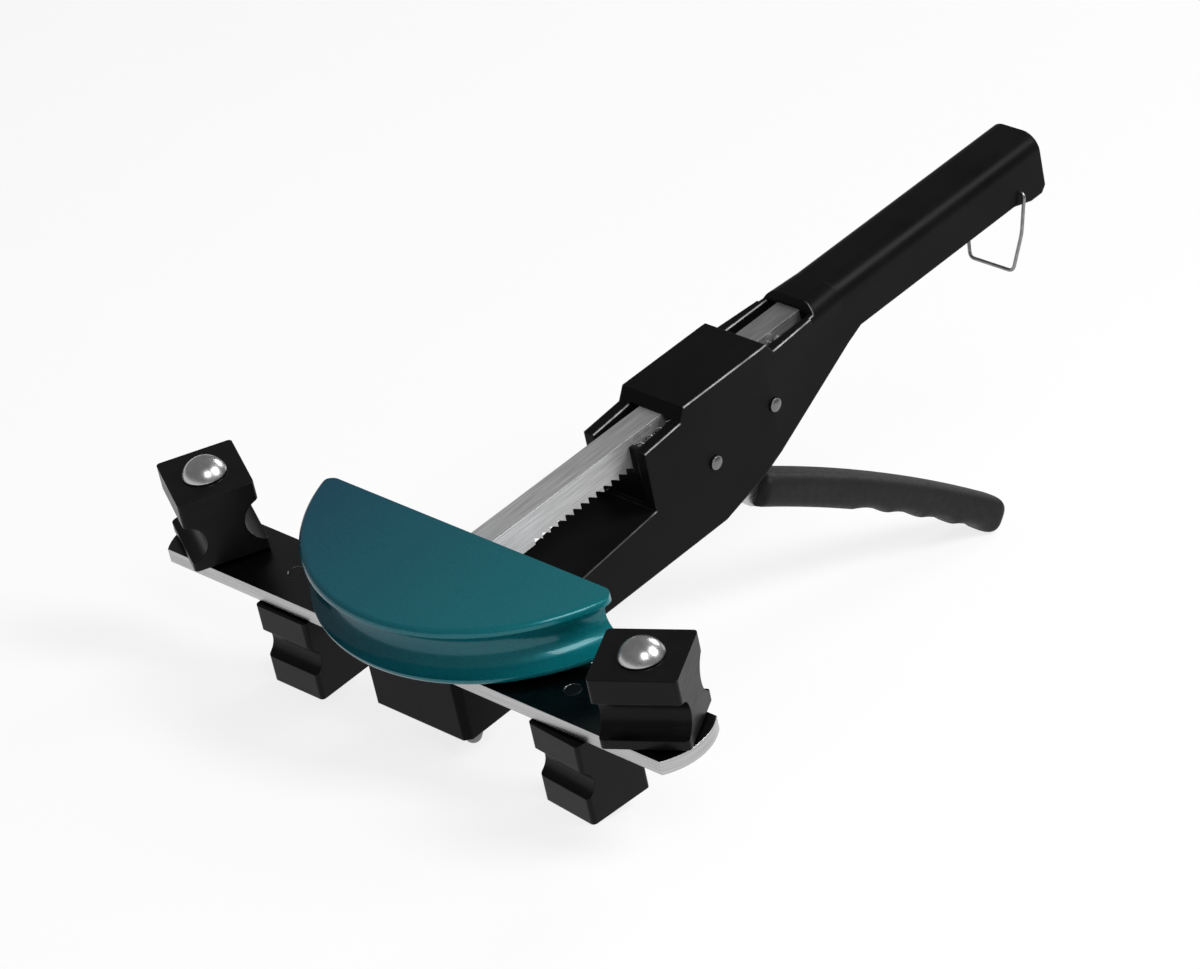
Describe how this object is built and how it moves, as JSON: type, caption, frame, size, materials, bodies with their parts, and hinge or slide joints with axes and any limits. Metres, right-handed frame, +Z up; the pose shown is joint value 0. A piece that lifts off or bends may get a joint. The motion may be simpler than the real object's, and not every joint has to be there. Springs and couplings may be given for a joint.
{
  "type": "ratchet tube bender",
  "caption": "Hand-squeezed ratchet tube bender: a toothed ram pushes a grooved forming die between swivelling guide blocks on a cross bar.",
  "frame": {"origin": "on the floor, under the middle of the standing tool's bounding box", "axes": "+X along the cross bar, +Y from the die toward the handle along the floor, +Z up; the tool leans back on its lever, so its own axis rises toward the handle"},
  "size_m": [0.3228, 0.4314, 0.2046],
  "materials": {
    "body_paint": "satin black paint on cast aluminium",
    "bar_steel": "bright rolled steel",
    "fastener": "plain steel",
    "dome": "polished",
    "rack_steel": "ground steel",
    "die_finish": "gloss teal anodised",
    "lever_steel": "plain steel",
    "grip": "matte, finger grooved",
    "spring": "spring wire",
    "block": "black moulded nylon",
    "wire": "dark wire"
  },
  "bodies": {
    "frame": {"body": "body_paint", "cross_bar": "bar_steel", "bar_screws": "fastener", "bar_nuts": "fastener", "upper_pins": "dome", "lower_pins": "dome", "upper_washers": "fastener", "lower_washers": "fastener", "lever_pin": "fastener", "pawl_pin": "fastener", "pin_rings": "fastener", "lever_spring": "spring", "pawl_spring": "spring"},
    "ram": {"rack": "rack_steel", "die": "die_finish", "die_screw": "fastener", "rack_stop": "fastener"},
    "lever": {"lever_arm": "lever_steel", "lever_grip": "grip", "crank_pin": "fastener", "drive_spring": "spring"},
    "drive_pawl": {"drive_pawl": "lever_steel"},
    "holding_pawl": {"holding_pawl": "lever_steel"},
    "upper_left_block": {"upper_block_left": "block"},
    "upper_right_block": {"upper_block_right": "block"},
    "lower_left_block": {"lower_block_left": "block"},
    "lower_right_block": {"lower_block_right": "block"},
    "bail": {"bail": "wire"}
  },
  "joints": [
    {"name": "ram_slide", "type": "slide", "parent": "frame", "child": "ram", "axis": [0, 0.954, 0.2997], "range_m": [-0.032, 0.075]},
    {"name": "lever_hinge", "type": "hinge", "parent": "frame", "child": "lever", "pos_m": [0, -0.01358, 0.09703], "axis": [1, 0, 0], "range_deg": [0, 28], "stiffness_Nm_per_rad": 4, "springref_deg": -42.97, "deforming": ["lever_spring"]},
    {"name": "drive_pawl_hinge", "type": "hinge", "parent": "lever", "child": "drive_pawl", "pos_m": [0, -0.01423, 0.10801], "axis": [1, 0, 0], "range_deg": [-30, 30], "deforming": ["drive_spring"]},
    {"name": "holding_pawl_hinge", "type": "hinge", "parent": "frame", "child": "holding_pawl", "pos_m": [0, 0.0247, 0.11534], "axis": [1, 0, 0], "range_deg": [0, 20], "stiffness_Nm_per_rad": 0.05, "springref_deg": -17.19, "deforming": ["pawl_spring"]},
    {"name": "upper_left_swivel", "type": "hinge", "parent": "frame", "child": "upper_left_block", "pos_m": [-0.136, -0.17214, 0.05456], "axis": [0, -0.2997, 0.954], "continuous": true},
    {"name": "upper_right_swivel", "type": "hinge", "parent": "frame", "child": "upper_right_block", "pos_m": [0.136, -0.17214, 0.05456], "axis": [0, -0.2997, 0.954], "continuous": true},
    {"name": "lower_left_swivel", "type": "hinge", "parent": "frame", "child": "lower_left_block", "pos_m": [-0.0865, -0.17214, 0.05456], "axis": [0, -0.2997, 0.954], "continuous": true},
    {"name": "lower_right_swivel", "type": "hinge", "parent": "frame", "child": "lower_right_block", "pos_m": [0.0865, -0.17214, 0.05456], "axis": [0, -0.2997, 0.954], "continuous": true},
    {"name": "bail_hinge", "type": "hinge", "parent": "frame", "child": "bail", "pos_m": [0, 0.19756, 0.17803], "axis": [1, 0, 0], "range_deg": [-45, 100]}
  ],
  "couplings": [
    {"joint": "drive_pawl_hinge", "follows": "lever_hinge", "ratio": -1}
  ]
}
